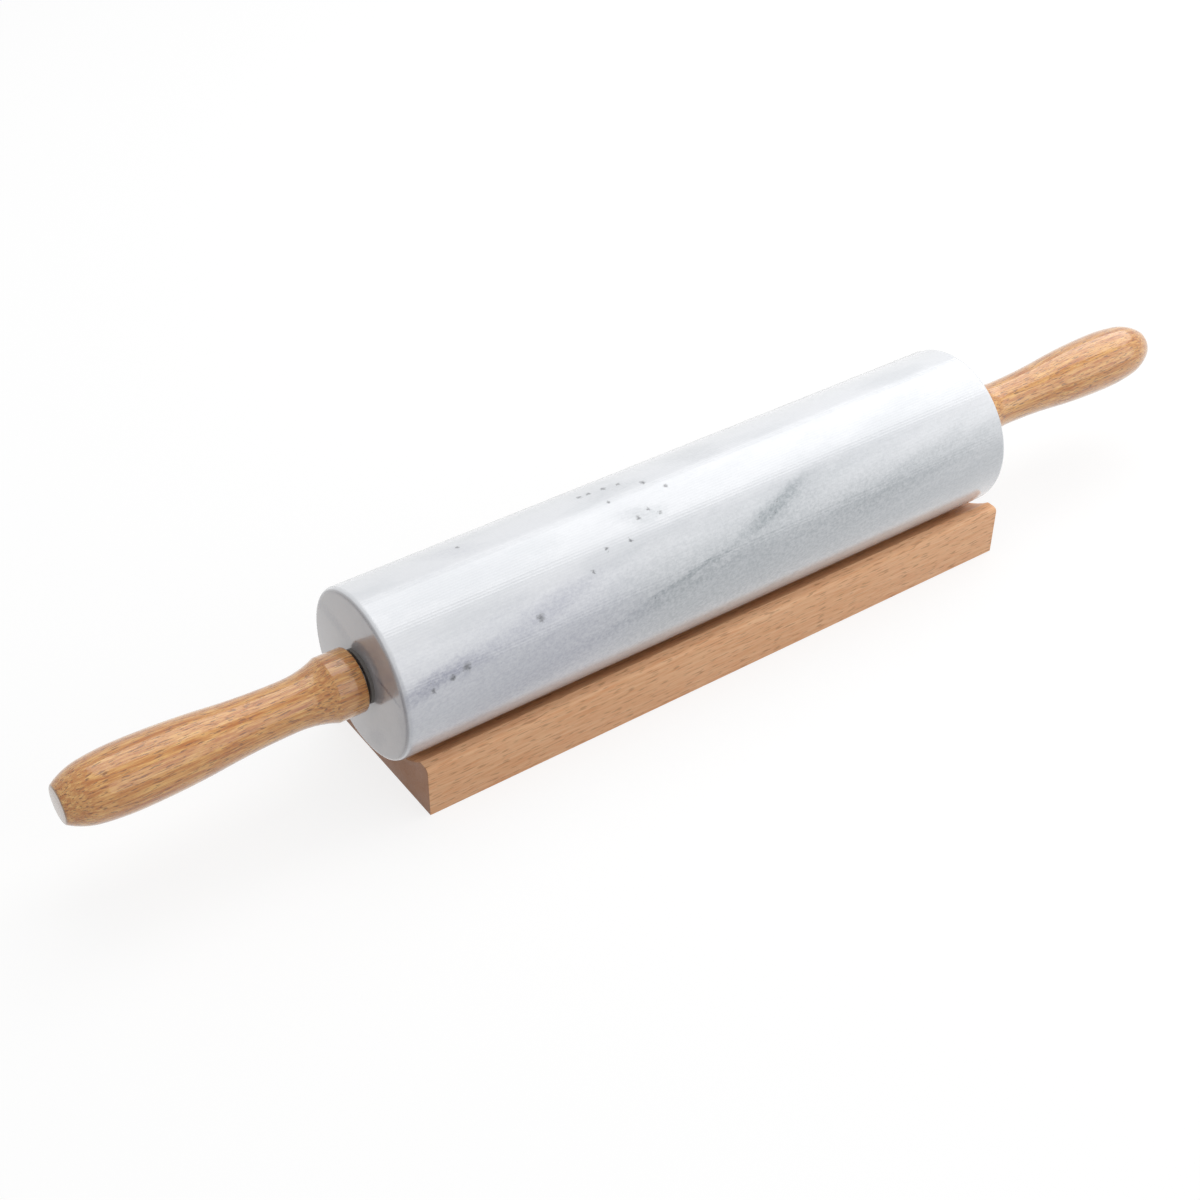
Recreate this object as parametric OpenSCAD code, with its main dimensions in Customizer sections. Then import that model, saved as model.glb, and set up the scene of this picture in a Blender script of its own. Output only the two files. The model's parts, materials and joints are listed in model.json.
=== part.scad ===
// Marble rolling pin lying on its wooden cradle.
// X runs along the pin, Z is up, and the origin is on the table under the middle of the pin.

/* [Marble barrel] */
// Diameter of the barrel
barrel_d = 60; // [40:1:90]
// Length of the barrel between its end faces
barrel_l = 256; // [150:1:400]
// Radius of the rounded rims
rim_edge = 2; // [0.5:0.5:5]
// Diameter of the bore through the marble
barrel_bore_d = 13; // [12:0.5:14]

/* [Handles] */
// Length of each handle from its collar face to its blunt tip
handle_l = 100; // [90:1:140]
// Diameter of the collar next to the barrel
collar_d = 22.5; // [20:0.5:30]
// Length of the collar
collar_l = 11; // [8:0.5:20]
// Radius that eases the collar's end face
collar_face_edge = 1; // [0.5:0.25:2]
// Radius of the break between the collar and the cove
collar_break = 1.5; // [0.5:0.25:3]
// Smallest diameter, at the neck
neck_d = 17.3; // [16:0.1:19]
// Radius of the cove that runs from the collar down to the neck
cove_arc = 36; // [20:1:60]
// Largest diameter, at the swell that fills the palm
swell_d = 22.6; // [21:0.1:32]
// Distance from the swell to the blunt tip
swell_to_tip = 23; // [16:1:40]
// Share of the way from neck to swell that is hollow, before it turns full
flare_share = 0.47; // [0.3:0.01:0.7]
// Radius of the full curve just past the swell
shoulder_arc = 90; // [50:1:200]
// Length of the nose, the last and tightest curve before the tip
nose_l = 10.4; // [7:0.2:14]
// Radius of the nose
nose_arc = 24; // [18:1:30]
// Radius that eases the flat tip
tip_edge = 1.2; // [0.4:0.2:2]

/* [Rod, bushes and inserts] */
// Diameter of the rod inside the barrel
rod_d = 10; // [9:0.5:11]
// Diameter of the rod's threaded ends
thread_d = 8; // [6:0.5:8]
// Length of thread inside each handle
thread_grip = 16; // [12:1:20]
// Chamfer on the rod's tips
rod_chamfer = 0.8; // [0.2:0.1:1.5]
// Outside diameter of the bush's sleeve
bush_d = 16; // [14.5:0.5:20]
// Length of the bush's sleeve inside the marble
bush_l = 20; // [10:1:40]
// Diameter of the bush's flange, which covers the joint with the marble
flange_d = 19; // [18:0.5:21]
// Thickness of the flange
flange_t = 1.2; // [0.8:0.1:2]
// Outside diameter of the thrust washer
washer_d = 16; // [12:0.5:18]
// Thickness of the thrust washer
washer_t = 1; // [0.5:0.1:2]
// Outside diameter of the threaded insert in the handle
insert_d = 12; // [10:0.5:13]
// Length of the threaded insert
insert_l = 14; // [8:1:16]
// Depth of the handle's hole past the end of the thread
hole_spare = 4; // [1:0.5:8]

/* [Cradle] */
// Length of the cradle
cradle_l = 250; // [120:1:420]
// Width of the cradle
cradle_w = 60; // [50:1:90]
// Height of the cradle
cradle_h = 20; // [16:0.5:30]
// Thickness of wood left under the middle of the groove
groove_floor = 11; // [6:0.5:14]
// Radius of the groove, wider than the barrel so that the pin lies on one line
groove_r = 40; // [32:0.5:60]
// Radius of the long top edges
cradle_edge = 1.8; // [0.5:0.1:4]
// Small chamfer on the bottom and end edges
cradle_chamfer = 0.6; // [0.2:0.1:1.5]
// How far the cradle's middle lies from the pin's middle along X
cradle_shift = 2.8; // [-5:0.1:5]

/* [Clearances] */
// Clearance all round a shaft that turns in its bush
running_gap = 0.05; // [0.02:0.01:0.1]
// Glue line all round the bushes, and clearance round the threads and inserts
glue_gap = 0.05; // [0.02:0.01:0.1]
// Free play between each bush's flange and its washer
end_play = 0.3; // [0.2:0.05:1]
// Gap between the barrel and the groove it rests in
rest_gap = 0.3; // [0.1:0.05:0.5]
// Clearance all round the rod's thread in the washer
washer_gap = 0.2; // [0.1:0.05:0.4]

/* [Hidden] */
$fn = 96;
// A cutter reaches this far past the face it starts from
past = 1;

marble_tone = [0.86, 0.87, 0.88];
handle_tone = [0.80, 0.56, 0.34];
cradle_tone = [0.76, 0.58, 0.44];
steel_tone = [0.70, 0.71, 0.73];
brass_tone = [0.80, 0.64, 0.33];
nylon_tone = [0.22, 0.20, 0.19];

// Heights and stations
axis_z = groove_floor + rest_gap + barrel_d / 2;
flange_x = barrel_l / 2 + flange_t;
shoulder_x = flange_x + end_play;
collar_x = shoulder_x + washer_t;
rod_end_x = collar_x + thread_grip;

// The handle's outline, as distance from the collar face and radius. Each arc is tangent to the next.
collar_r = collar_d / 2;
neck_r = neck_d / 2;
swell_r = swell_d / 2;
// Break between collar and cove
break_c = [collar_l - collar_break, collar_r - collar_break];
cove_rise = neck_r + cove_arc - break_c[1];
neck_s = break_c[0] + sqrt(pow(cove_arc + collar_break, 2) - pow(cove_rise, 2));
cove_c = [neck_s, neck_r + cove_arc];
break_turn = atan2(cove_rise, neck_s - break_c[0]);
// Hollow flare and full swell, which share one turn
swell_s = handle_l - swell_to_tip;
rise = swell_r - neck_r;
run = swell_s - neck_s;
arcs_sum = (run * run + rise * rise) / (2 * rise);
flare_arc = arcs_sum * flare_share;
swell_arc = arcs_sum - flare_arc;
flare_turn = asin(run / arcs_sum);
flare_c = [neck_s, neck_r + flare_arc];
swell_c = [swell_s, swell_r - swell_arc];
// Shoulder past the swell, then the nose inside it
shoulder_c = [swell_s, swell_r - shoulder_arc];
shoulder_turn = asin((handle_l - nose_l - swell_s) / shoulder_arc);
nose_c = shoulder_c + (shoulder_arc - nose_arc) * [sin(shoulder_turn), cos(shoulder_turn)];
// Eased rim of the flat tip
tip_s = handle_l - tip_edge;
tip_c = [tip_s, nose_c[1] + sqrt(pow(nose_arc - tip_edge, 2) - pow(tip_s - nose_c[0], 2))];
tip_turn = atan2(tip_c[1] - nose_c[1], tip_c[0] - nose_c[0]);

function arc(centre, radius, from, to, steps) =
    [for (i = [0:steps]) centre + radius * [cos(from + (to - from) * i / steps),
                                            sin(from + (to - from) * i / steps)]];

function inner(points) = [for (i = [1:len(points) - 1]) points[i]];

handle_outline = concat(
    [[0, 0]],
    arc([collar_face_edge, collar_r - collar_face_edge], collar_face_edge, 180, 90, 5),
    arc(break_c, collar_break, 90, break_turn, 5),
    inner(arc(cove_c, cove_arc, 180 + break_turn, 270, 9)),
    inner(arc(flare_c, flare_arc, 270, 270 + flare_turn, 7)),
    inner(arc(swell_c, swell_arc, 90 + flare_turn, 90, 8)),
    inner(arc(shoulder_c, shoulder_arc, 90, 90 - shoulder_turn, 5)),
    inner(arc(nose_c, nose_arc, 90 - shoulder_turn, tip_turn, 8)),
    inner(arc(tip_c, tip_edge, tip_turn, 0, 5)),
    [[handle_l, 0]]);

// Places children that are drawn along +Z from the origin onto the pin's axis at x = start
module along_pin(start) {
    translate([start, 0, axis_z])
        rotate([0, 90, 0])
            children();
}

// Draws a right-hand piece, or its mirror image for the left
module side(left) {
    mirror([left ? 1 : 0, 0, 0])
        children();
}

// Turns an outline of [distance, radius] points round the axis
module turned(outline) {
    rotate_extrude()
        polygon([for (p = outline) [p[1], p[0]]]);
}

module marble_barrel() {
    half = barrel_l / 2;
    r = barrel_d / 2;
    socket_r = bush_d / 2 + glue_gap;
    color(marble_tone)
        difference() {
            along_pin(-half)
                turned(concat(
                    [[0, 0]],
                    arc([rim_edge, r - rim_edge], rim_edge, 180, 90, 6),
                    arc([barrel_l - rim_edge, r - rim_edge], rim_edge, 90, 0, 6),
                    [[barrel_l, 0]]));
            along_pin(-half - past)
                cylinder(h = barrel_l + 2 * past, d = barrel_bore_d);
            for (left = [true, false])
                side(left)
                    along_pin(half - bush_l - glue_gap)
                        cylinder(h = bush_l + glue_gap + past, r = socket_r);
        }
}

module bush(left) {
    color(nylon_tone)
        side(left)
            difference() {
                union() {
                    along_pin(barrel_l / 2 - bush_l)
                        cylinder(h = bush_l + flange_t, d = bush_d);
                    along_pin(barrel_l / 2)
                        cylinder(h = flange_t, d = flange_d);
                }
                along_pin(barrel_l / 2 - bush_l - past)
                    cylinder(h = bush_l + flange_t + 2 * past, d = rod_d + 2 * running_gap);
            }
}

module axle_rod() {
    thread_r = thread_d / 2;
    end_l = rod_end_x - shoulder_x;
    color(steel_tone)
        along_pin(-rod_end_x)
            turned([
                [0, 0],
                [0, thread_r - rod_chamfer],
                [rod_chamfer, thread_r],
                [end_l, thread_r],
                [end_l, rod_d / 2],
                [2 * rod_end_x - end_l, rod_d / 2],
                [2 * rod_end_x - end_l, thread_r],
                [2 * rod_end_x - rod_chamfer, thread_r],
                [2 * rod_end_x, thread_r - rod_chamfer],
                [2 * rod_end_x, 0]]);
}

module washer(left) {
    color(steel_tone)
        side(left)
            difference() {
                along_pin(shoulder_x)
                    cylinder(h = washer_t, d = washer_d);
                along_pin(shoulder_x - past)
                    cylinder(h = washer_t + 2 * past, d = thread_d + 2 * washer_gap);
            }
}

module insert(left) {
    color(brass_tone)
        side(left)
            difference() {
                along_pin(collar_x)
                    cylinder(h = insert_l, d = insert_d);
                along_pin(collar_x - past)
                    cylinder(h = insert_l + 2 * past, d = thread_d + 2 * glue_gap);
            }
}

module handle(left) {
    color(handle_tone)
        side(left)
            difference() {
                along_pin(collar_x)
                    turned(handle_outline);
                along_pin(collar_x - past)
                    cylinder(h = insert_l + past, d = insert_d + 2 * glue_gap);
                along_pin(collar_x)
                    cylinder(h = thread_grip + hole_spare, d = thread_d + 2 * glue_gap);
            }
}

// Across the cradle: a block whose long top edges are rounded and bottom edges chamfered
module cradle_section() {
    half = cradle_w / 2;
    polygon(concat(
        [[-half + cradle_chamfer, 0], [half - cradle_chamfer, 0], [half, cradle_chamfer]],
        arc([half - cradle_edge, cradle_h - cradle_edge], cradle_edge, 0, 90, 6),
        arc([-half + cradle_edge, cradle_h - cradle_edge], cradle_edge, 90, 180, 6),
        [[-half, cradle_chamfer]]));
}

// Along the cradle: the same block with its end edges chamfered
module cradle_side() {
    c = cradle_chamfer;
    polygon([[c, 0], [cradle_l - c, 0], [cradle_l, c], [cradle_l, cradle_h - c],
             [cradle_l - c, cradle_h], [c, cradle_h], [0, cradle_h - c], [0, c]]);
}

module cradle() {
    color(cradle_tone)
        translate([cradle_shift - cradle_l / 2, 0, 0])
            difference() {
                intersection() {
                    rotate([90, 0, 90])
                        linear_extrude(cradle_l)
                            cradle_section();
                    translate([0, cradle_w / 2 + past, 0])
                        rotate([90, 0, 0])
                            linear_extrude(cradle_w + 2 * past)
                                cradle_side();
                }
                translate([-past, 0, groove_floor + groove_r])
                    rotate([0, 90, 0])
                        cylinder(h = cradle_l + 2 * past, r = groove_r, $fn = 240);
            }
}

marble_barrel();
bush(true);  // left_bush
bush(false);  // right_bush
axle_rod();
washer(true);  // left_washer
washer(false);  // right_washer
insert(true);  // left_insert
insert(false);  // right_insert
handle(true);  // left_handle
handle(false);  // right_handle
cradle();
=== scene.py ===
# %% [markdown]
# A marble rolling pin lies on its wooden cradle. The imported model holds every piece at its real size,
# so this lesson loads it first, keeps its box, and then gives each piece the surface of the real one.

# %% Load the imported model
import json
from math import cos, hypot, pi, radians, sin, tau

import bmesh
import bpy
from mathutils import Matrix, Vector
from mathutils.geometry import interpolate_bezier


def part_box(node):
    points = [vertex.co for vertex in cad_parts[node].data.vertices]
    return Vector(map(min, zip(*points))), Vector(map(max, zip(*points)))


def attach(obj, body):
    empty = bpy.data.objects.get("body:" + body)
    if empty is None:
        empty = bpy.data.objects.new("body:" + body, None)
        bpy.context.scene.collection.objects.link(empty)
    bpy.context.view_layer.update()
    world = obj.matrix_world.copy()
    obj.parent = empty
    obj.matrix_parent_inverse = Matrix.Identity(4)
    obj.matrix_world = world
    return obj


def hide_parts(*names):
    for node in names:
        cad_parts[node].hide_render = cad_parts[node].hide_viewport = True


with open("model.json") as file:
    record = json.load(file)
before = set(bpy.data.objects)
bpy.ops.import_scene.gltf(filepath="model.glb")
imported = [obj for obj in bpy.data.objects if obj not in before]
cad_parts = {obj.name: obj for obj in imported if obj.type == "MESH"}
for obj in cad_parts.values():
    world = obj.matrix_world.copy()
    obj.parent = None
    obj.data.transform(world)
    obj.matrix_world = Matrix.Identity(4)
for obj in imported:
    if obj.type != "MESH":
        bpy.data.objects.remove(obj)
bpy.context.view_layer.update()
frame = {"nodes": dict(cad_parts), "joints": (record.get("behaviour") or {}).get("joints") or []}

MM = 0.001
nodes = frame["nodes"]
spin_joint = next(joint for joint in frame["joints"] if joint["name"] == "barrel_spin")
AXIS_Z = spin_joint["pos_m"][2]
for name in sorted(nodes):
    low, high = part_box(name)
    size = (high - low) / MM
    print(f"{name}: {size.x:.1f} x {size.y:.1f} x {size.z:.1f} mm")

# %% [markdown]
# The camera comes first, because every later choice is judged through it. The pin is seen from its left end
# and from well above, through a long lens that keeps the barrel's two sides nearly parallel. A camera is
# aimed by the direction from the object back to it, which an azimuth and an elevation give.

# %% Camera
VIEW_AZIMUTH = radians(-35.43)
VIEW_ELEVATION = radians(38.61)
VIEW_ROLL = radians(0.44)
CAMERA_PLACE = Vector((-0.33650, -0.42513, 0.44632))
LENS_MM = 57.97
SENSOR_MM = 36


def camera_turn(azimuth, elevation, roll):
    back = Vector((sin(azimuth) * cos(elevation), -cos(azimuth) * cos(elevation), sin(elevation)))
    right = Vector((cos(azimuth), sin(azimuth), 0))
    up = back.cross(right)
    tilted_right = cos(roll) * right + sin(roll) * up
    tilted_up = -sin(roll) * right + cos(roll) * up
    return Matrix((tilted_right, tilted_up, back)).transposed()


camera = bpy.data.objects.new("camera", bpy.data.cameras.new("camera"))
bpy.context.scene.collection.objects.link(camera)
camera.data.lens = LENS_MM
camera.data.sensor_width = SENSOR_MM
turn = camera_turn(VIEW_AZIMUTH, VIEW_ELEVATION, VIEW_ROLL)
camera.matrix_world = Matrix.Translation(CAMERA_PLACE) @ turn.to_4x4()
bpy.context.scene.camera = camera
bpy.context.scene.view_settings.view_transform = "Standard"
print("camera at", [round(value, 3) for value in CAMERA_PLACE], "with a", LENS_MM, "mm lens")


# %% [markdown]
# A material is a small graph of nodes. A few helpers keep the graphs readable: a plain number goes on a
# socket, another node's output is linked to it, and each helper adds one kind of node.

# %% Helpers for materials
def add(tree, kind, **settings):
    node = tree.nodes.new(kind)
    for key, value in settings.items():
        setattr(node, key, value)
    return node


def give(tree, socket, value):
    if isinstance(value, bpy.types.NodeSocket):
        tree.links.new(value, socket)
    else:
        socket.default_value = value


def calc(tree, operation, first, second=0.0, clamp=False):
    node = add(tree, "ShaderNodeMath", operation=operation, use_clamp=clamp)
    give(tree, node.inputs[0], first)
    give(tree, node.inputs[1], second)
    return node.outputs["Value"]


def vector_calc(tree, operation, first, second=(0, 0, 0)):
    node = add(tree, "ShaderNodeVectorMath", operation=operation)
    give(tree, node.inputs[0], first)
    give(tree, node.inputs[1], second)
    return node.outputs["Value" if operation in ("LENGTH", "DISTANCE") else "Vector"]


def fade(tree, value, start, end, low=0.0, high=1.0):
    """Goes smoothly from low to high while value goes from start to end."""
    node = add(tree, "ShaderNodeMapRange", interpolation_type="SMOOTHSTEP")
    for label, number in (("Value", value), ("From Min", start), ("From Max", end),
                          ("To Min", low), ("To Max", high)):
        give(tree, node.inputs[label], number)
    return node.outputs["Result"]


def cell_size(tree, vector, along, across, turn=(0, 0, 0)):
    """Scales a place in metres so that one unit is a cell of this length and width."""
    node = add(tree, "ShaderNodeMapping", vector_type="TEXTURE")
    give(tree, node.inputs["Vector"], vector)
    give(tree, node.inputs["Rotation"], turn)
    give(tree, node.inputs["Scale"], (along, across, across))
    return node.outputs["Vector"]


def noise(tree, vector, detail, roughness=0.5, output="Fac"):
    node = add(tree, "ShaderNodeTexNoise")
    give(tree, node.inputs["Vector"], vector)
    give(tree, node.inputs["Scale"], 1.0)
    give(tree, node.inputs["Detail"], detail)
    give(tree, node.inputs["Roughness"], roughness)
    return node.outputs[output]


def mix_colours(tree, factor, first, second, mode="MIX"):
    node = add(tree, "ShaderNodeMix", data_type="RGBA", blend_type=mode)
    colour_inputs = [socket for socket in node.inputs if socket.type == "RGBA"]
    give(tree, node.inputs["Factor"], factor)
    give(tree, colour_inputs[0], first)
    give(tree, colour_inputs[1], second)
    return next(socket for socket in node.outputs if socket.type == "RGBA")


def shade(red, green, blue):
    """Turns a colour as a screen shows it, 0 to 255, into the linear values that a shader takes."""
    def linear(value):
        part = value / 255
        return part / 12.92 if part <= 0.04045 else ((part + 0.055) / 1.055) ** 2.4
    return (linear(red), linear(green), linear(blue), 1.0)


def new_material(name):
    material = bpy.data.materials.new(name)
    material.use_nodes = True
    tree = material.node_tree
    tree.nodes.clear()
    output = add(tree, "ShaderNodeOutputMaterial")
    surface = add(tree, "ShaderNodeBsdfPrincipled")
    tree.links.new(surface.outputs["BSDF"], output.inputs["Surface"])
    place = add(tree, "ShaderNodeTexCoord")
    return material, tree, surface.inputs, place.outputs


def new_group(name, takes, gives):
    group = bpy.data.node_groups.new(name, "ShaderNodeTree")
    for label, kind in takes.items():
        group.interface.new_socket(label, in_out="INPUT", socket_type="NodeSocket" + kind)
    for label, kind in gives.items():
        group.interface.new_socket(label, in_out="OUTPUT", socket_type="NodeSocket" + kind)
    return group, group.nodes.new("NodeGroupInput").outputs, group.nodes.new("NodeGroupOutput").inputs


def use_group(tree, group, **values):
    node = add(tree, "ShaderNodeGroup", node_tree=group)
    for label, value in values.items():
        give(tree, node.inputs[label.replace("_", " ")], value)
    return node.outputs


# %% [markdown]
# The pin stands on a white surface with no visible horizon. Painted white alone would turn grey in this
# light, so the floor glows a little for rays that come from the camera or from a reflection, and the rest of
# its brightness is real light. Where the object blocks that light, its soft shadow stays.

# %% Floor
FLOOR_SIZE = 12.0
FLOOR_DROP = 0.05 * MM
FLOOR_GLOW = 0.80
FLOOR_TONE = shade(134, 134, 134)
FLOOR_BOUNCE = shade(200, 200, 200)


def shown_ray(tree):
    """One for rays from the camera, or from a mirror or glass, and zero for plain light."""
    path = add(tree, "ShaderNodeLightPath").outputs
    seen = calc(tree, "MAXIMUM", path["Is Camera Ray"], path["Is Glossy Ray"])
    return calc(tree, "MAXIMUM", seen, path["Is Transmission Ray"])


def floor_material():
    material = bpy.data.materials.new("floor_white")
    material.use_nodes = True
    tree = material.node_tree
    tree.nodes.clear()
    output = add(tree, "ShaderNodeOutputMaterial")
    seen_paper = add(tree, "ShaderNodeBsdfDiffuse")
    seen_paper.inputs["Color"].default_value = FLOOR_TONE
    lit_paper = add(tree, "ShaderNodeBsdfDiffuse")
    lit_paper.inputs["Color"].default_value = FLOOR_BOUNCE
    glow = add(tree, "ShaderNodeEmission")
    glow.inputs["Strength"].default_value = FLOOR_GLOW
    both = add(tree, "ShaderNodeAddShader")
    tree.links.new(seen_paper.outputs["BSDF"], both.inputs[0])
    tree.links.new(glow.outputs["Emission"], both.inputs[1])
    choice = add(tree, "ShaderNodeMixShader")
    tree.links.new(shown_ray(tree), choice.inputs["Fac"])
    tree.links.new(lit_paper.outputs["BSDF"], choice.inputs[1])
    tree.links.new(both.outputs["Shader"], choice.inputs[2])
    tree.links.new(choice.outputs["Shader"], output.inputs["Surface"])
    return material


bpy.ops.object.select_all(action="DESELECT")
bpy.ops.mesh.primitive_plane_add(size=FLOOR_SIZE, location=(0, 0, -FLOOR_DROP))
floor = bpy.context.object
floor.name = "floor"
floor.data.materials.append(floor_material())

# %% [markdown]
# One wide softbox hangs over the pin, a little behind it and to its right. The barrel mirrors it as a broad
# pale band along the top, so its long side runs along the pin. A large, dim box in front lights the long
# side, no brighter than the white around it, so no second band shows. The left end faces away from both and
# stays the darkest. The world fills the shadows, and shows plain white wherever the camera sees it.

# %% Lamps and world
WORLD_FILL = 0.37
LAMPS = {
    "overhead_softbox": {"towards": (0.45, 0.20, 0.87), "distance": 1.1, "size": (1.7, 1.05), "watts": 9.1},
    "front_softbox": {"towards": (0.45, -0.80, 0.38), "distance": 1.5, "size": (2.0, 1.1), "watts": 7.0},
}


def hang_softbox(name, towards, distance, size, watts):
    light = bpy.data.lights.new(name, "AREA")
    light.shape = "RECTANGLE"
    light.size, light.size_y = size
    light.energy = watts
    lamp = bpy.data.objects.new(name, light)
    bpy.context.scene.collection.objects.link(lamp)
    back = Vector(towards).normalized()
    across = back.cross(Vector((1, 0, 0))).normalized()
    turned = Matrix((across.cross(back), across, back)).transposed()
    place = Vector((0, 0, AXIS_Z)) + distance * back
    lamp.matrix_world = Matrix.Translation(place) @ turned.to_4x4()


for lamp_name, facts in LAMPS.items():
    hang_softbox(lamp_name, **facts)
    print(lamp_name, facts["watts"], "W")

world = bpy.data.worlds.new("studio")
bpy.context.scene.world = world
world.use_nodes = True
world.node_tree.nodes.clear()
world_output = add(world.node_tree, "ShaderNodeOutputWorld")
fill = add(world.node_tree, "ShaderNodeBackground")
fill.inputs["Strength"].default_value = WORLD_FILL
backdrop = add(world.node_tree, "ShaderNodeBackground")
backdrop.inputs["Strength"].default_value = 1.0
for background in (fill, backdrop):
    background.inputs["Color"].default_value = (1, 1, 1, 1)
world_choice = add(world.node_tree, "ShaderNodeMixShader")
world.node_tree.links.new(shown_ray(world.node_tree), world_choice.inputs["Fac"])
world.node_tree.links.new(fill.outputs["Background"], world_choice.inputs[1])
world.node_tree.links.new(backdrop.outputs["Background"], world_choice.inputs[2])
world.node_tree.links.new(world_choice.outputs["Shader"], world_output.inputs["Surface"])


# %% [markdown]
# Modelling by hand starts from a primitive that is selected all over. Operators act on whatever is selected,
# so each step first clears the selection and then picks edges or faces in code, by their place.

# %% Helpers for modelling
def start_clear():
    if bpy.context.mode != "OBJECT":
        bpy.ops.object.mode_set(mode="OBJECT")
    bpy.ops.object.select_all(action="DESELECT")


def select_only(thing):
    start_clear()
    thing.select_set(True)
    bpy.context.view_layer.objects.active = thing


def pick(thing, kind, wanted):
    """In edit mode, selects only the vertices, edges or faces for which wanted() is true."""
    bpy.ops.mesh.select_mode(type=kind)
    bpy.ops.mesh.select_all(action="DESELECT")
    mesh = bmesh.from_edit_mesh(thing.data)
    mesh.normal_update()
    elements = {"VERT": mesh.verts, "EDGE": mesh.edges, "FACE": mesh.faces}[kind]
    for element in elements:
        element.select = wanted(element)
    mesh.select_flush_mode()
    bmesh.update_edit_mesh(thing.data)


def place_in_mesh(thing):
    select_only(thing)
    bpy.ops.object.transform_apply(location=True, rotation=True, scale=True)


def finish_piece(thing, soft_angle):
    """Merges doubles, turns the faces outwards and shades edges below soft_angle as round."""
    select_only(thing)
    bpy.ops.object.mode_set(mode="EDIT")
    bpy.ops.mesh.select_all(action="SELECT")
    bpy.ops.mesh.remove_doubles(threshold=0.001 * MM)
    bpy.ops.mesh.normals_make_consistent(inside=False)
    bpy.ops.object.mode_set(mode="OBJECT")
    bpy.ops.object.shade_smooth_by_angle(angle=soft_angle)
    triangles = sum(len(face.vertices) - 2 for face in thing.data.polygons)
    print(f"{thing.name}: {triangles} triangles")


def off_axis(point):
    return hypot(point.y, point.z - AXIS_Z)


# %% [markdown]
# The barrel is one turned and polished bar of stone. A cylinder primitive gives the bar, a bevel rounds its
# two rims, and an inset and an extrude sink the socket of the bush into each end. Bridging the two sockets
# drills the bore, as the long drill does in the workshop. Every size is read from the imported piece.

# %% Barrel
BARREL_SIDES = 192
RIM_STEPS = 10
barrel_low, barrel_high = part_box("marble_barrel")
barrel_length = barrel_high.x - barrel_low.x
barrel_points = [vertex.co for vertex in nodes["marble_barrel"].data.vertices]
barrel_radius = max(off_axis(point) for point in barrel_points)
straight_end = max(point.x for point in barrel_points if off_axis(point) > barrel_radius - 0.01 * MM)
rim_radius = barrel_high.x - straight_end
inner_points = [point for point in barrel_points if off_axis(point) < barrel_radius / 2]
socket_radius = max(off_axis(point) for point in inner_points)
bore_radius = min(off_axis(point) for point in inner_points)
socket_wall = [point for point in inner_points if off_axis(point) > (socket_radius + bore_radius) / 2]
socket_depth = barrel_high.x - min(abs(point.x) for point in socket_wall)


def model_barrel():
    start_clear()
    bpy.ops.mesh.primitive_cylinder_add(vertices=BARREL_SIDES, radius=barrel_radius, depth=barrel_length,
                                        location=(0, 0, AXIS_Z), rotation=(0, pi / 2, 0))
    barrel = bpy.context.object
    barrel.name = "polished_barrel"
    place_in_mesh(barrel)
    half = barrel_length / 2
    bpy.ops.object.mode_set(mode="EDIT")
    pick(barrel, "EDGE", lambda edge: all(abs(abs(v.co.x) - half) < 0.01 * MM for v in edge.verts))
    bpy.ops.mesh.bevel(offset=rim_radius, segments=RIM_STEPS, profile=0.5, affect="EDGES")
    for side in (-1, 1):
        pick(barrel, "FACE", lambda face: face.normal.x * side > 0.9999)
        bpy.ops.mesh.inset(thickness=barrel_radius - rim_radius - socket_radius, depth=0)
        bpy.ops.mesh.extrude_region_move(TRANSFORM_OT_translate={"value": (-side * socket_depth, 0, 0)})
        bpy.ops.mesh.inset(thickness=socket_radius - bore_radius, depth=0)
        bpy.ops.mesh.delete(type="FACE")
    pick(barrel, "EDGE", lambda edge: edge.is_boundary)
    bpy.ops.mesh.bridge_edge_loops()
    return barrel


barrel = model_barrel()
finish_piece(barrel, radians(30))
print(f"barrel {barrel_length / MM:.0f} mm long, rim {rim_radius / MM:.1f} mm, "
      f"socket {socket_radius / MM:.2f} mm, bore {bore_radius / MM:.2f} mm")

# %% [markdown]
# A handle is turned on a lathe, so it is one outline spun round the pin's axis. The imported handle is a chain
# of short cones whose corners lie on the true curve. Its corners are read back, a smooth curve is drawn
# through them, and that finer outline is spun. The hole for the threaded insert is part of the same outline.

# %% Handle outline
CURVE_STEPS = 4
HANDLE_SIDES = 160
SMALLEST_TURN = radians(0.3)
HOLE_SHARE = 0.7
collar_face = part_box("right_handle")[0].x
handle_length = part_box("right_handle")[1].x - collar_face
insert_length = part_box("right_insert")[1].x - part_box("right_insert")[0].x
collar_radius = max(off_axis(v.co) for v in nodes["right_handle"].data.vertices
                    if v.co.x < collar_face + insert_length / 2)


def read_outline(node_name):
    """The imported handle's stations as (distance from the collar face, radius), each one once."""
    stations = {}
    for vertex in nodes[node_name].data.vertices:
        along, out = vertex.co.x - collar_face, off_axis(vertex.co)
        stations[round(along / MM, 2), round(out / MM, 2)] = Vector((along, out))
    return [stations[key] for key in sorted(stations)]


def where_it_turns(points):
    """Leaves out the stations that only divide a straight stretch."""
    kept = [here for before, here, after in zip(points, points[1:], points[2:])
            if (here - before).angle(after - here) > SMALLEST_TURN]
    return [points[0]] + kept + [points[-1]]


def smooth_through(points, steps):
    """A curve through the points, whose slope at each one follows its two neighbours."""
    ahead, behind = points[1:] + points[-1:], points[:1] + points[:-1]
    slopes = [(after - before).normalized() for before, after in zip(behind, ahead)]
    curve = [points[0]]
    for i, (start, end) in enumerate(zip(points, points[1:])):
        lead = (end - start).length / 3
        curve += interpolate_bezier(start, start + lead * slopes[i], end - lead * slopes[i + 1], end,
                                    steps + 1)[1:]
    return curve


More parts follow.
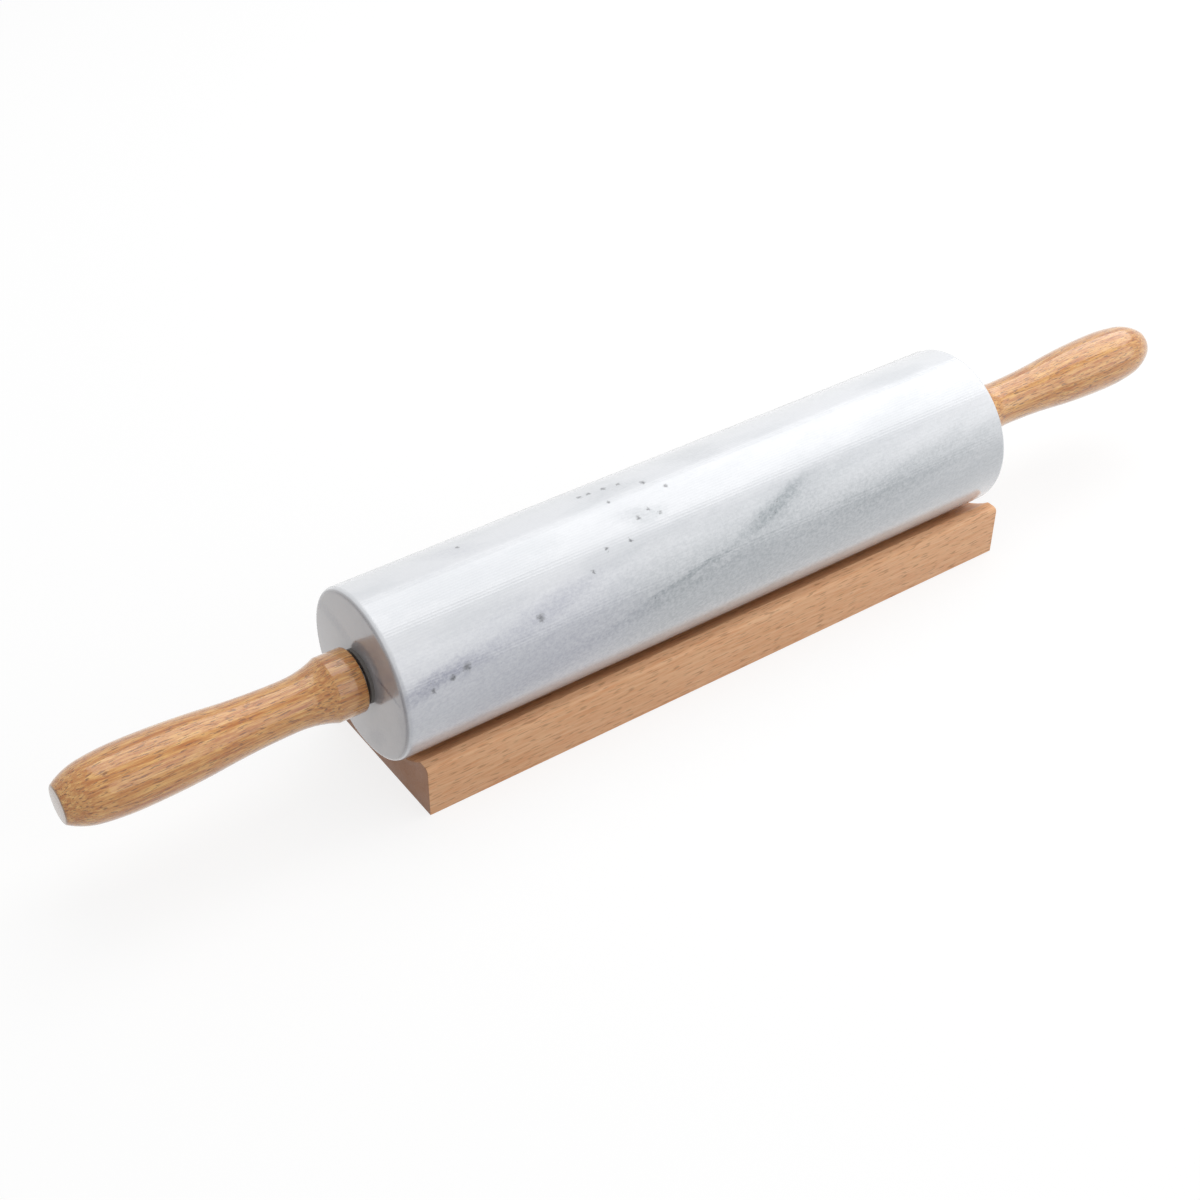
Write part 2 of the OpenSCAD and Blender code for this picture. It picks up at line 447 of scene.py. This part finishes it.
corners = read_outline("right_handle")
hole_corners = [c for c in corners if c.x < handle_length / 2 and c.y < collar_radius * HOLE_SHARE]
hole_depth = max(along for along, out in hole_corners)
thread_hole = min(out for along, out in hole_corners)
insert_hole = max(out for along, out in hole_corners)
outer_corners = where_it_turns([c for c in corners if c not in hole_corners])
hole_outline = [(hole_depth, 0), (hole_depth, thread_hole), (insert_length, thread_hole),
                (insert_length, insert_hole), (0, insert_hole)]
handle_outline = hole_outline + smooth_through(outer_corners, CURVE_STEPS) + [(handle_length, 0)]
print(f"handle outline: {len(outer_corners)} corners read, {len(handle_outline)} points drawn, "
      f"hole {hole_depth / MM:.0f} mm deep")


# %% Handles
def model_handle():
    start_clear()
    bpy.ops.mesh.primitive_plane_add(size=1 * MM, location=(collar_face, 0, AXIS_Z))
    handle = bpy.context.object
    handle.name = "right_turned_handle"
    place_in_mesh(handle)
    bpy.ops.object.mode_set(mode="EDIT")
    bpy.ops.mesh.select_mode(type="VERT")
    bpy.ops.mesh.select_all(action="SELECT")
    bpy.ops.mesh.merge(type="CENTER")
    here = (0, 0)
    for i, (along, out) in enumerate(handle_outline):
        move = (along - here[0], 0, out - here[1])
        if i == 0:
            bpy.ops.transform.translate(value=move)
        else:
            bpy.ops.mesh.extrude_vertices_move(TRANSFORM_OT_translate={"value": move})
        here = (along, out)
    bpy.ops.mesh.select_all(action="SELECT")
    bpy.ops.mesh.spin(steps=HANDLE_SIDES, angle=tau, center=(0, 0, AXIS_Z), axis=(1, 0, 0))
    return handle


def mirrored_copy(piece, name):
    copy = piece.copy()
    copy.data = piece.data.copy()
    copy.name = name
    bpy.context.scene.collection.objects.link(copy)
    copy.data.transform(Matrix.Scale(-1, 4, (1, 0, 0)))
    return copy


right_handle = model_handle()
bpy.ops.object.mode_set(mode="OBJECT")
left_handle = mirrored_copy(right_handle, "left_turned_handle")
for handle in (right_handle, left_handle):
    finish_piece(handle, radians(40))

# %% [markdown]
# The cradle is a planed block with a shallow round groove. A cube primitive gives the block, a bevel eases
# its long top edges, and a cylinder as wide as the groove is cut out of it with a Boolean modifier. A last
# fine bevel takes the sharpness off every other edge, so that each one catches a thin line of light.

# %% Cradle
GROOVE_SIDES = 360
EDGE_STEPS = 8
ARRIS = 0.5 * MM
LONG_EDGE = 1.8 * MM
cradle_low, cradle_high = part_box("cradle")
cradle_size = cradle_high - cradle_low
groove_points = [v.co for v in nodes["cradle"].data.vertices
                 if abs(v.co.y) < cradle_size.y * 0.43 and v.co.z > cradle_size.z * 0.3]
groove_low = min(groove_points, key=lambda point: point.z)
groove_edge = max(groove_points, key=lambda point: abs(point.y))
groove_centre = ((groove_edge.y ** 2 - groove_low.y ** 2 + groove_edge.z ** 2 - groove_low.z ** 2)
                 / (2 * (groove_edge.z - groove_low.z)))
groove_radius = hypot(groove_edge.y, groove_edge.z - groove_centre)


def apply_modifier(thing, kind, **settings):
    select_only(thing)
    modifier = thing.modifiers.new(kind.lower(), kind)
    for key, value in settings.items():
        setattr(modifier, key, value)
    bpy.ops.object.modifier_apply(modifier=modifier.name)


def model_cradle():
    start_clear()
    bpy.ops.mesh.primitive_cube_add(size=1, location=(cradle_low + cradle_high) / 2, scale=cradle_size)
    block = bpy.context.object
    block.name = "grooved_cradle"
    place_in_mesh(block)
    bpy.ops.object.mode_set(mode="EDIT")
    top = cradle_high.z - 0.01 * MM
    pick(block, "EDGE", lambda edge: all(v.co.z > top for v in edge.verts)
         and abs(edge.verts[0].co.x - edge.verts[1].co.x) > cradle_size.x / 2)
    bpy.ops.mesh.bevel(offset=LONG_EDGE, segments=EDGE_STEPS, profile=0.5, affect="EDGES")
    start_clear()
    bpy.ops.mesh.primitive_cylinder_add(vertices=GROOVE_SIDES, radius=groove_radius,
                                        depth=cradle_size.x * 1.1, rotation=(0, pi / 2, 0),
                                        location=(0, 0, groove_centre))
    cutter = bpy.context.object
    place_in_mesh(cutter)
    apply_modifier(block, "BOOLEAN", operation="DIFFERENCE", object=cutter, solver="EXACT")
    bpy.data.objects.remove(cutter)
    apply_modifier(block, "BEVEL", width=ARRIS, segments=3, limit_method="ANGLE",
                   angle_limit=radians(35), harden_normals=False)
    return block


cradle = model_cradle()
finish_piece(cradle, radians(35))
print(f"groove radius {groove_radius / MM:.2f} mm, floor {(groove_centre - groove_radius) / MM:.2f} mm up")

# %% [markdown]
# White marble is never one white. This bar has soft grey bands that run at a low angle along it, a fine
# sugary grain, and dark specks that sit in chains on the bands. The widest band greys the whole lower front
# and is partly the stone's own grey and partly painted shade. Each band, patch and speck is a soft
# ellipsoid inside the stone, so a group that measures the distance to one ellipsoid makes them all.

# %% Smear group
smear_group, taken, given = new_group(
    "stone_smear", {"Vector": "Vector", "Centre": "Vector", "Turn": "Vector", "Reach": "Vector"},
    {"Mask": "Float"})
smear_place = add(smear_group, "ShaderNodeMapping", vector_type="TEXTURE")
give(smear_group, smear_place.inputs["Vector"], taken["Vector"])
give(smear_group, smear_place.inputs["Location"], taken["Centre"])
give(smear_group, smear_place.inputs["Rotation"], taken["Turn"])
give(smear_group, smear_place.inputs["Scale"], taken["Reach"])
smear_distance = vector_calc(smear_group, "LENGTH", smear_place.outputs["Vector"])
give(smear_group, given["Mask"], fade(smear_group, smear_distance, 1.0, 0.1))

# %% [markdown]
# Wood is a bundle of tubes along the grain. Growth rings are shells round the heart of the tree, fibres are
# fine streaks, and pores are short dark dashes. On a face that crosses the grain the same dashes become
# dots. One group gives these masks for the handles and the cradle, and each wood colours them its own way.

# %% Wood grain group
grain_group, taken, given = new_group(
    "wood_grain", {"Vector": "Vector", "Heart": "Vector", "Ring Gap": "Float", "Fineness": "Float"},
    {"Rings": "Float", "Streaks": "Float", "Fibres": "Float", "Pores": "Float"})
fine_place = vector_calc(grain_group, "SCALE", taken["Vector"])
give(grain_group, fine_place.node.inputs["Scale"], taken["Fineness"])
sway = noise(grain_group, cell_size(grain_group, taken["Vector"], 90 * MM, 9 * MM), 2.0, output="Color")
swayed = vector_calc(grain_group, "MULTIPLY_ADD", sway, (0, 3 * MM, 3 * MM))
sway_node = swayed.node
give(grain_group, sway_node.inputs[2], taken["Vector"])
from_heart = vector_calc(grain_group, "SUBTRACT", swayed, taken["Heart"])
across_only = vector_calc(grain_group, "MULTIPLY", from_heart, (0, 1, 1))
ring_count = calc(grain_group, "DIVIDE", vector_calc(grain_group, "LENGTH", across_only), taken["Ring Gap"])
ring_part = calc(grain_group, "FRACT", ring_count)
late_wood = fade(grain_group, ring_part, 0.15, 0.9)
ring_end = fade(grain_group, ring_part, 1.0, 0.92)
give(grain_group, given["Rings"], calc(grain_group, "MULTIPLY", late_wood, ring_end))
streak_cells = cell_size(grain_group, fine_place, 42 * MM, 1.5 * MM)
give(grain_group, given["Streaks"], noise(grain_group, streak_cells, 3.0, 0.65))
fibre_cells = cell_size(grain_group, fine_place, 11 * MM, 0.6 * MM)
give(grain_group, given["Fibres"], noise(grain_group, fibre_cells, 2.0, 0.6))
pore_cells = cell_size(grain_group, fine_place, 6 * MM, 0.75 * MM)
pore_noise = noise(grain_group, pore_cells, 1.0, 0.4)
give(grain_group, given["Pores"], fade(grain_group, pore_noise, 0.56, 0.70))

# %% [markdown]
# No finish is even. Polish, varnish and rubbed metal all carry faint duller patches from wiping and from
# hands. A second shared group gives that unevenness as a roughness around a middle value.

# %% Handling group
handling_group, taken, given = new_group(
    "handling_marks", {"Vector": "Vector", "Middle": "Float", "Spread": "Float"}, {"Roughness": "Float"})
patch_cells = cell_size(handling_group, taken["Vector"], 22 * MM, 14 * MM)
patches = fade(handling_group, noise(handling_group, patch_cells, 4.0, 0.6), 0.3, 0.7, -1.0, 1.0)
wiped = calc(handling_group, "MULTIPLY", patches, taken["Spread"])
give(handling_group, given["Roughness"], calc(handling_group, "ADD", taken["Middle"], wiped, clamp=True))

# %% [markdown]
# The places of the marble's marks are given as a designer would point at them on the bar: so many
# millimetres along it, and so many degrees down from its top line towards the front. A start, an end and a
# width make one smear, which lies flat in the surface and reaches some way into the stone.

# %% Marble marks
# Each band: start along and down, end along and down, half width in mm, depth of grey
BANDS = [
    # The first band greys the whole lower front of the bar: partly the stone's own grey, and partly painted
    # shade for the side that faces away from the overhead softbox.
    ((-220, 88), (220, 78), 38, 0.50),
    ((-135, 112), (-50, 90), 7.0, 0.22),
    ((-90, 94), (30, 66), 4.0, 0.26),
    ((-136, 76), (-88, 60), 5.0, 0.62),
    ((-100, 66), (-40, 42), 5.0, 0.32),
    ((-44, 81), (14, 58), 1.6, 0.55),
    ((4, 61), (40, 41), 4.2, 0.72),
    ((-6, 66), (64, 36), 8.0, 0.26),
    ((20, 76), (136, 60), 9.0, 0.30),
    ((-40, -14), (-14, -4), 6.0, 0.16),
    ((-34, 18), (-16, 26), 5.0, 0.30),
    ((0, -18), (16, -8), 10.0, 0.16),
    ((-100, -16), (-78, -6), 5.0, 0.14),
]
# Each dark speck: along, down, radius in mm
SPECKS = [
    (-75, 57, 2.2), (-104.4, 67, 2.2), (-110, 70, 1.5), (-117.5, 73, 1.3), (-51.5, 44, 1.2),
    (-43.6, 34, 1.0), (-34, 35, 1.1), (-37.6, -14, 1.4), (-34.1, -14, 1.3), (-28.5, -12.7, 1.5),
    (-23, -10.7, 1.3), (-15.9, -2.3, 1.5), (-10.6, 8.3, 1.3), (-86, -13, 1.3),
    (-27, 23, 1.3), (-22, 20, 1.1), (-19, 25, 1.0), (-32, 3, 1.1),
]
# Each mark on the left end face: start and end as distance in front of the axis and above it
END_MARKS = [
    ((7, 8), (30, 5), 1.3, 0.75),
    ((-26, 14), (-2, 11), 4.5, 0.40),
    ((2, -26), (14, -15), 5.0, 0.35),
]
SPECK_DEPTH = 0.85
SMEAR_REACH = 9 * MM
WIDE_SMEAR_DEPTH = 0.4


def on_bar(along, down):
    angle = radians(down)
    return Vector((along * MM, -barrel_radius * sin(angle), barrel_radius * cos(angle)))


def smear(tree, vector, start, end, half_width, outwards):
    """A long soft mark between two points, thin along the surface and deep along outwards."""
    along = (end - start).normalized()
    across = outwards.cross(along).normalized()
    deep = along.cross(across)
    turn = Matrix((along, across, deep)).transposed().to_euler()
    reach = ((end - start).length / 2 + half_width, half_width,
             max(SMEAR_REACH, WIDE_SMEAR_DEPTH * half_width))
    return use_group(tree, smear_group, Vector=vector, Centre=(start + end) / 2, Turn=turn,
                     Reach=reach)["Mask"]


def laid_over(tree, masks):
    """Lays grey over grey: where masks overlap the stone gets darker, but never darker than full."""
    light_left = calc(tree, "SUBTRACT", 1.0, masks[0])
    for mask in masks[1:]:
        light_left = calc(tree, "MULTIPLY", light_left, calc(tree, "SUBTRACT", 1.0, mask))
    return calc(tree, "SUBTRACT", 1.0, light_left, clamp=True)


def shifted(tree, vector, cells, detail, amount):
    """Moves each place by up to about half of amount, so that marks get ragged outlines."""
    drift = vector_calc(tree, "SUBTRACT", noise(tree, cells, detail, 0.6, "Color"), (0.5, 0.5, 0.5))
    return vector_calc(tree, "ADD", vector, vector_calc(tree, "MULTIPLY", drift, (amount,) * 3))


# %% Marble
STONE_WHITE = shade(244, 246, 250)
STONE_CLOUD = shade(222, 226, 231)
# Darkening for the end faces: partly the sawn stone's own duller grey, and partly painted shade for the end
# that faces away from the lamps.
END_GREY_AND_SHADE = shade(204, 201, 202)
STONE_BAND = shade(152, 161, 167)
STONE_BLUE = shade(160, 163, 182)
STONE_SPECK = shade(84, 87, 92)
BAND_TURN = (0, radians(-13), 0)


def marble_material():
    material, tree, surface, place = new_material("polished_marble")
    centred = vector_calc(tree, "SUBTRACT", place["Object"], (0, 0, AXIS_Z))
    wandered = shifted(tree, centred, cell_size(tree, centred, 26 * MM, 9 * MM, BAND_TURN), 5.0, 8 * MM)
    fine_cells = cell_size(tree, centred, 2.4 * MM, 1.6 * MM, BAND_TURN)
    wandered = shifted(tree, wandered, fine_cells, 3.0, 2.4 * MM)
    ragged = shifted(tree, centred, cell_size(tree, centred, 1.1 * MM, 0.8 * MM), 2.0, 2.6 * MM)
    bands = []
    for start, end, half_width, depth in BANDS:
        middle = on_bar(0, (start[1] + end[1]) / 2).normalized()
        mask = smear(tree, wandered, on_bar(*start), on_bar(*end), half_width * MM, middle)
        bands.append(calc(tree, "MULTIPLY", mask, depth))
    end_x = -barrel_length / 2
    for start, end, half_width, depth in END_MARKS:
        points = [Vector((end_x, -front * MM, above * MM)) for front, above in (start, end)]
        mask = smear(tree, ragged, *points, half_width * MM, Vector((-1, 0, 0)))
        bands.append(calc(tree, "MULTIPLY", mask, depth))
    placed = laid_over(tree, bands)
    cloud_cells = cell_size(tree, wandered, 60 * MM, 16 * MM, BAND_TURN)
    cloud = fade(tree, noise(tree, cloud_cells, 4.0, 0.6), 0.40, 0.70)
    sugar = noise(tree, cell_size(tree, centred, 1.5 * MM, 1.0 * MM, BAND_TURN), 3.0, 0.7)
    sugar_mask = fade(tree, sugar, 0.30, 0.70, -1.0, 1.0)
    grain_share = calc(tree, "MULTIPLY_ADD", placed, 0.22)
    give(tree, grain_share.node.inputs[2], 0.035)
    grainy = calc(tree, "ADD", placed, calc(tree, "MULTIPLY", sugar_mask, grain_share), clamp=True)
    specks = [fade(tree, vector_calc(tree, "DISTANCE", ragged, on_bar(along, down)),
                   radius * MM, 0.0, 0.0, SPECK_DEPTH) for along, down, radius in SPECKS]
    peppered = add(tree, "ShaderNodeTexVoronoi")
    give(tree, peppered.inputs["Vector"], cell_size(tree, ragged, 1.7 * MM, 1.4 * MM))
    give(tree, peppered.inputs["Scale"], 1.0)
    dots = fade(tree, peppered.outputs["Distance"], 0.34, 0.08)
    chosen = fade(tree, noise(tree, cell_size(tree, centred, 3.2 * MM, 2.2 * MM), 2.0), 0.5, 0.62)
    zone = fade(tree, placed, 0.54, 0.74)
    pepper = calc(tree, "MULTIPLY", calc(tree, "MULTIPLY", dots, chosen), calc(tree, "MULTIPLY", zone, 0.8))
    split = add(tree, "ShaderNodeSeparateXYZ")
    give(tree, split.inputs["Vector"], wandered)
    band_tone = mix_colours(tree, fade(tree, split.outputs["X"], -20 * MM, -70 * MM), STONE_BAND, STONE_BLUE)
    colour = mix_colours(tree, calc(tree, "MULTIPLY", cloud, 0.5), STONE_WHITE, STONE_CLOUD)
    colour = mix_colours(tree, grainy, colour, band_tone)
    dark = laid_over(tree, specks + [pepper])
    colour = mix_colours(tree, dark, colour, STONE_SPECK)
    # Both end faces are multiplied darker: partly the sawn stone's own grey, and partly painted shade for the
    # left end, which faces away from the lamps.
    facing = add(tree, "ShaderNodeSeparateXYZ")
    give(tree, facing.inputs["Vector"], place["Normal"])
    end_grey_and_shade = fade(tree, calc(tree, "ABSOLUTE", facing.outputs["X"]), 0.5, 0.98)
    colour = mix_colours(tree, end_grey_and_shade, colour, END_GREY_AND_SHADE, "MULTIPLY")
    give(tree, surface["Base Color"], colour)
    polish = use_group(tree, handling_group, Vector=place["Object"], Middle=0.22, Spread=0.03)
    give(tree, surface["Roughness"], polish["Roughness"])
    surface["Coat Weight"].default_value = 0.9
    surface["Coat Roughness"].default_value = 0.05
    bump = add(tree, "ShaderNodeBump")
    give(tree, bump.inputs["Strength"], 0.25)
    give(tree, bump.inputs["Distance"], 0.05 * MM)
    give(tree, bump.inputs["Height"], calc(tree, "SUBTRACT", sugar, dark))
    give(tree, surface["Normal"], bump.outputs["Normal"])
    return material


# %% [markdown]
# The handles are golden brown hardwood under gloss varnish. The varnish is a clear coat over the grain, so
# its highlight stays sharp while the wood below keeps its own duller surface. Where the turning cuts across
# the grain, on the blunt tip, the wood soaks up more stain and turns darker and greyer.

# %% Wood material
WOODS = {
    "varnished_handle": {
        "pale": shade(248, 195, 117), "deep": shade(203, 128, 54), "pore": shade(118, 64, 24),
        "end": shade(158, 126, 94), "heart": (0, 24 * MM, 62 * MM), "ring_gap": 3.1 * MM, "fineness": 1.7,
        "ring_share": 0.25, "streak_share": 0.8, "fibre_share": 0.5, "pore_share": 0.7,
        "roughness": 0.22, "coat": 0.8, "coat_roughness": 0.06,
    },
    "planed_cradle": {
        "pale": shade(250, 201, 156), "deep": shade(232, 173, 124), "pore": shade(164, 108, 68),
        "end": shade(160, 110, 82), "heart": (0, -70 * MM, -55 * MM), "ring_gap": 5.5 * MM, "fineness": 1.2,
        "ring_share": 0.15, "streak_share": 0.55, "fibre_share": 0.35, "pore_share": 0.5,
        "roughness": 0.5, "coat": 0.0, "coat_roughness": 0.3,
    },
}


def wood_material(name, pale, deep, pore, end, heart, ring_gap, fineness, ring_share, streak_share,
                  fibre_share, pore_share, roughness, coat, coat_roughness):
    material, tree, surface, place = new_material(name)
    grain = use_group(tree, grain_group, Vector=place["Object"], Heart=heart, Ring_Gap=ring_gap,
                      Fineness=fineness)
    streaks = fade(tree, grain["Streaks"], 0.34, 0.66)
    tone = calc(tree, "ADD", calc(tree, "MULTIPLY", grain["Rings"], ring_share),
                calc(tree, "MULTIPLY", streaks, streak_share), clamp=True)
    colour = mix_colours(tree, tone, pale, deep)
    fibre_tone = calc(tree, "MULTIPLY", fade(tree, grain["Fibres"], 0.4, 0.7), fibre_share)
    colour = mix_colours(tree, fibre_tone, colour, deep, "MULTIPLY")
    colour = mix_colours(tree, calc(tree, "MULTIPLY", grain["Pores"], pore_share), colour, pore)
    facing = add(tree, "ShaderNodeSeparateXYZ")
    give(tree, facing.inputs["Vector"], place["Normal"])
    crossing = fade(tree, calc(tree, "ABSOLUTE", facing.outputs["X"]), 0.6, 0.95)
    end_colour = mix_colours(tree, calc(tree, "MULTIPLY", tone, 0.6), end, pore)
    colour = mix_colours(tree, calc(tree, "MULTIPLY", crossing, 0.8), colour, end_colour)
    give(tree, surface["Base Color"], colour)
    worn = use_group(tree, handling_group, Vector=place["Object"], Middle=roughness, Spread=0.06)
    give(tree, surface["Roughness"], worn["Roughness"])
    surface["Coat Weight"].default_value = coat
    surface["Coat Roughness"].default_value = coat_roughness
    bump = add(tree, "ShaderNodeBump")
    give(tree, bump.inputs["Strength"], 0.5)
    give(tree, bump.inputs["Distance"], 0.08 * MM)
    relief = calc(tree, "SUBTRACT", calc(tree, "MULTIPLY", grain["Fibres"], 0.4), grain["Pores"])
    give(tree, bump.inputs["Height"], relief)
    give(tree, surface["Normal"], bump.outputs["Normal"])
    return material


# %% [markdown]
# The hardware hides between the marble and the handles. The rod and washers are drawn steel with fine
# turning lines, the inserts are brass, and the flanged bushes are nylon. Only a bush's rim shows beside
# the collar; its mid grey is painted shade, so that the rim reads as the thin shadow line in the gap there.

# %% Hardware materials
def metal_material(name, tone, line_size, roughness):
    material, tree, surface, place = new_material(name)
    lines = noise(tree, cell_size(tree, place["Object"], line_size, 6 * MM), 3.0, 0.6)
    darker = tuple(0.7 * part for part in tone[:3]) + (1.0,)
    give(tree, surface["Base Color"], mix_colours(tree, fade(tree, lines, 0.3, 0.7), darker, tone))
    surface["Metallic"].default_value = 1.0
    rubbed = use_group(tree, handling_group, Vector=place["Object"], Middle=roughness, Spread=0.08)
    give(tree, surface["Roughness"], rubbed["Roughness"])
    bump = add(tree, "ShaderNodeBump")
    give(tree, bump.inputs["Strength"], 0.3)
    give(tree, bump.inputs["Distance"], 0.02 * MM)
    give(tree, bump.inputs["Height"], lines)
    give(tree, surface["Normal"], bump.outputs["Normal"])
    return material


def shadow_grey_nylon_material():
    material, tree, surface, place = new_material("shadow_grey_nylon")
    specks = noise(tree, cell_size(tree, place["Object"], 0.8 * MM, 0.8 * MM), 3.0)
    # The bush's mid grey is painted shade for the thin shadow line in the gap beside the collar.
    give(tree, surface["Base Color"], mix_colours(tree, specks, shade(112, 108, 104), shade(134, 130, 126)))
    moulded = use_group(tree, handling_group, Vector=place["Object"], Middle=0.55, Spread=0.06)
    give(tree, surface["Roughness"], moulded["Roughness"])
    bump = add(tree, "ShaderNodeBump")
    give(tree, bump.inputs["Strength"], 0.2)
    give(tree, bump.inputs["Distance"], 0.03 * MM)
    give(tree, bump.inputs["Height"], specks)
    give(tree, surface["Normal"], bump.outputs["Normal"])
    return material


# %% Put the finishes on
marble = marble_material()
woods = {name: wood_material(name, **facts) for name, facts in WOODS.items()}
steel = metal_material("drawn_steel", shade(205, 207, 210), 0.25 * MM, 0.3)
brass = metal_material("turned_brass", shade(214, 178, 98), 0.3 * MM, 0.35)
nylon = shadow_grey_nylon_material()
HARDWARE = {
    "axle_rod": steel, "left_washer": steel, "right_washer": steel,
    "left_insert": brass, "right_insert": brass, "left_bush": nylon, "right_bush": nylon,
}
for node_name, finish in HARDWARE.items():
    hardware = nodes[node_name]
    if not hardware.material_slots:
        hardware.data.materials.append(finish)
    for material_slot in hardware.material_slots:
        material_slot.material = finish

PIECES = [
    (barrel, "marble_barrel", "barrel", "marble", marble),
    (left_handle, "left_handle", "handles", "handle_wood", woods["varnished_handle"]),
    (right_handle, "right_handle", "handles", "handle_wood", woods["varnished_handle"]),
    (cradle, "cradle", "cradle", "cradle_wood", woods["planed_cradle"]),
]
for piece, node_name, body, slot_name, finish in PIECES:
    piece.data.materials.clear()
    piece.data.materials.append(finish)
    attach(piece, body)
    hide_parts(node_name)
    print(f"{piece.name} stands for {node_name} on body {body}")
